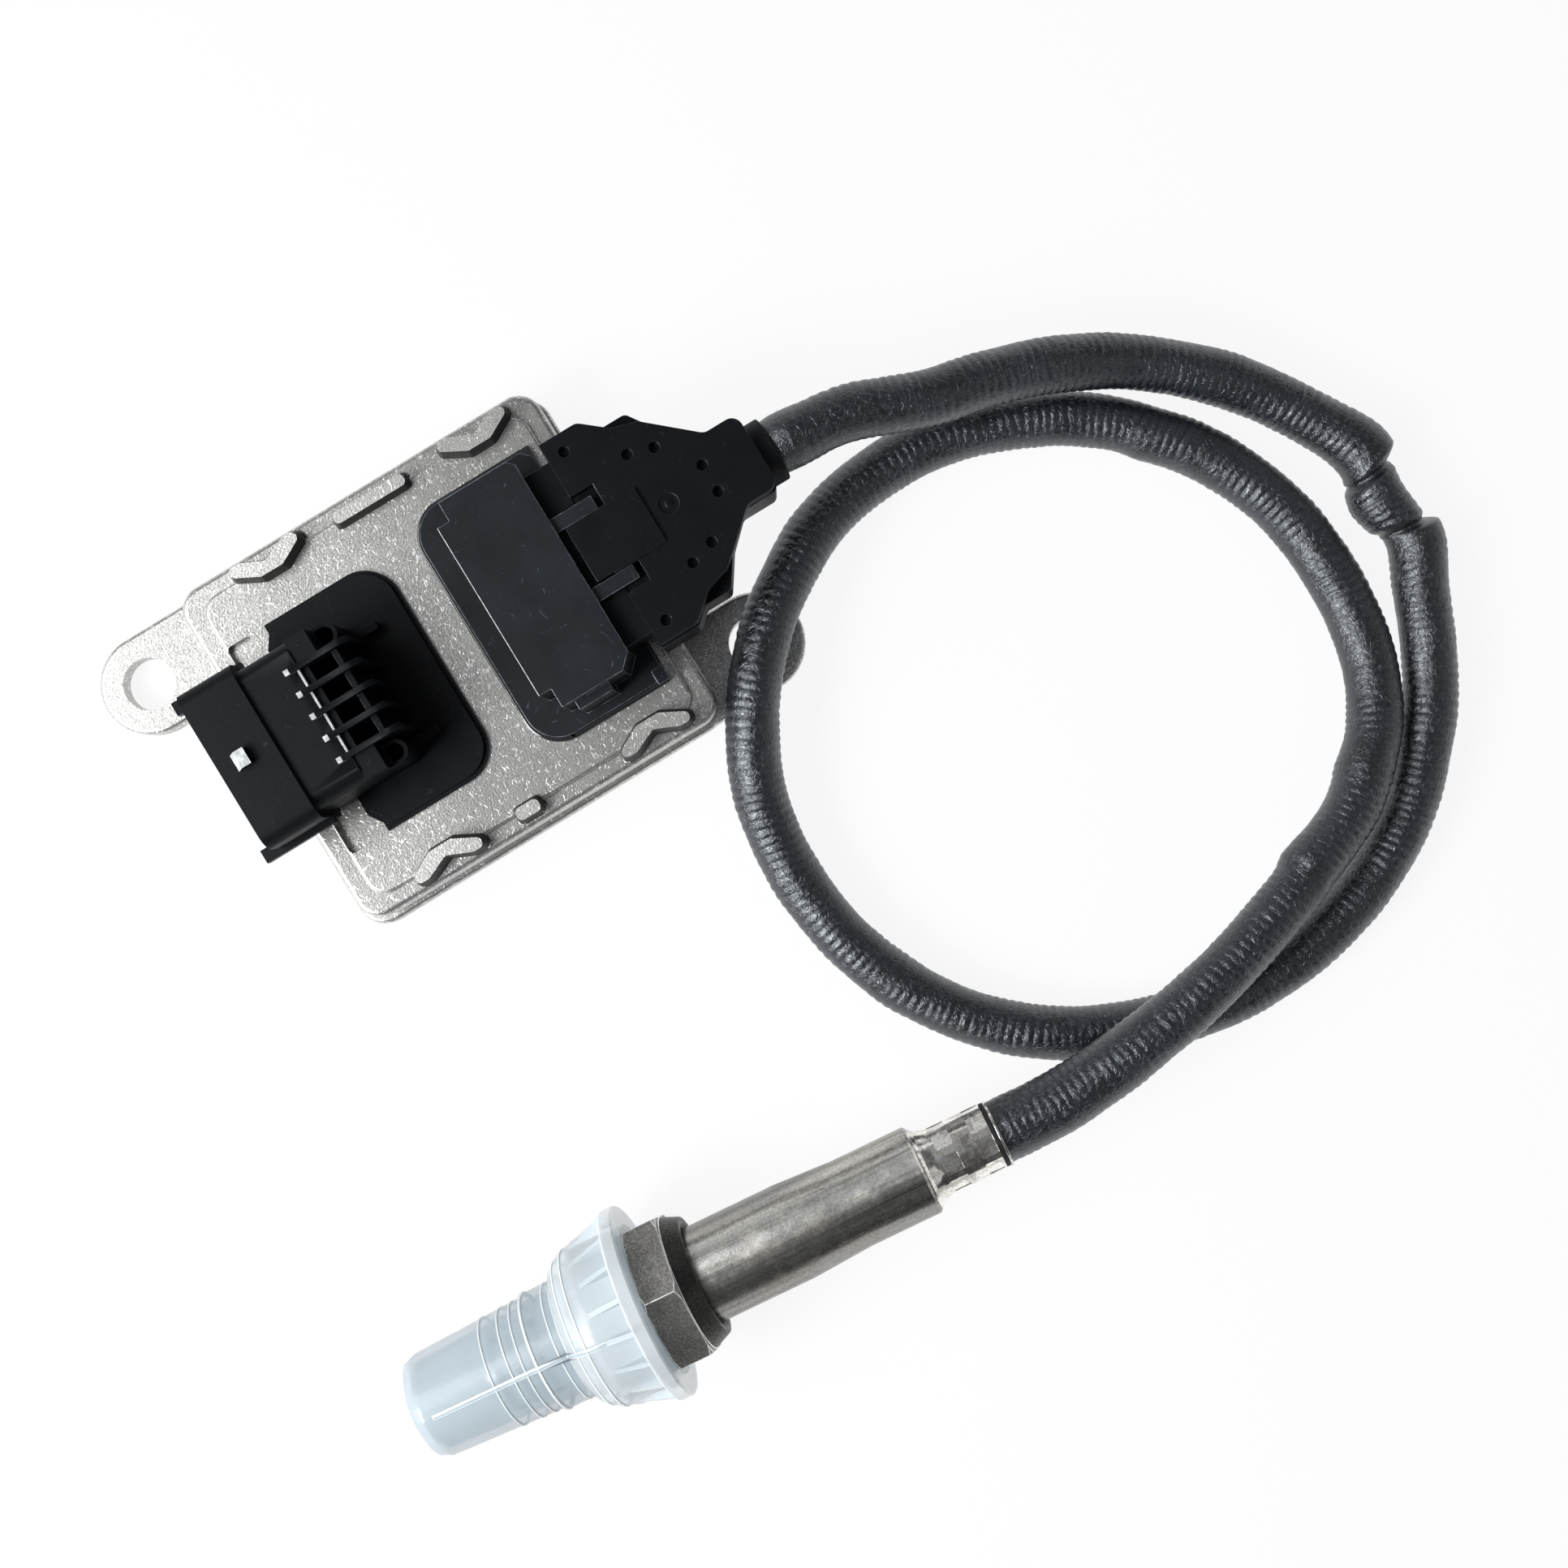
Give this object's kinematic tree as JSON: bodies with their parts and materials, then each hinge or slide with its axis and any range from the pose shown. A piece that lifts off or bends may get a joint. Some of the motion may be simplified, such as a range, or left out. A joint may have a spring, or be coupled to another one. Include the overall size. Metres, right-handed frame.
{
  "type": "nitrogen oxide sensor",
  "caption": "Exhaust nitrogen oxide sensor with capped probe, gland nut, flexible cable and a cast control unit with two connectors.",
  "frame": {"origin": "midpoint between the two mounting ears' holes, on the face that bolts down", "axes": "+Z away from the mounting face, +X from the vehicle connector to the sensor plug"},
  "size_m": [0.2113, 0.149, 0.0315],
  "materials": {
    "cast_aluminium": "tumbled die casting, fine scratched satin",
    "cover_sheet": "rolled sheet",
    "seal_rubber": "soft black rubber",
    "board_green": "solder mask",
    "screw_steel": "zinc plated",
    "chip_black": "moulded packages",
    "moulded_black": "satin glass-filled moulding",
    "plug_black": "satin moulding",
    "contact_tin": "tin plated",
    "seal_gloss": "wet-looking potting seal",
    "cable_sleeve": "ribbed sleeve, soft sheen",
    "nut_steel": "dark turned stainless",
    "sleeve_steel": "satin drawn stainless",
    "tail_steel": "bright crimped stainless",
    "shield_steel": "drawn stainless",
    "ceramic": "white alumina",
    "powder": "pressed talc",
    "core_red": "insulated cores",
    "clear_cap": "translucent soft polyethylene"
  },
  "bodies": {
    "sensor": {"housing": "cast_aluminium", "base_cover": "cover_sheet", "base_gasket": "seal_rubber", "circuit_board": "board_green", "board_screws": "screw_steel", "board_components": "chip_black", "vehicle_connector": "moulded_black", "vehicle_pins": "contact_tin", "vehicle_seal": "seal_rubber", "header_seal": "seal_gloss", "sensor_header": "moulded_black", "header_pins": "contact_tin", "plug_body": "moulded_black", "plug_terminals": "contact_tin", "plug_cover": "plug_black", "plug_collar": "seal_rubber", "cable": "cable_sleeve", "sensor_body": "sleeve_steel", "sensor_sleeve": "sleeve_steel", "crimped_tail": "tail_steel", "cable_grommet": "seal_rubber", "retaining_ring": "tail_steel", "outer_protection_tube": "shield_steel", "inner_protection_tube": "shield_steel", "sensing_element": "ceramic", "front_insulator": "ceramic", "powder_seal": "powder", "rear_insulator": "ceramic", "contact_holder": "ceramic", "contact_clips": "contact_tin", "lead_cores": "core_red"},
    "gland_nut": {"gland_nut": "nut_steel", "protective_cap": "clear_cap"}
  },
  "joints": [
    {"name": "gland_nut_spin", "type": "hinge", "parent": "sensor", "child": "gland_nut", "pos_m": [-0.0229, -0.1025, 0.0156], "axis": [0.9952, -0.0976, 0], "continuous": true}
  ]
}
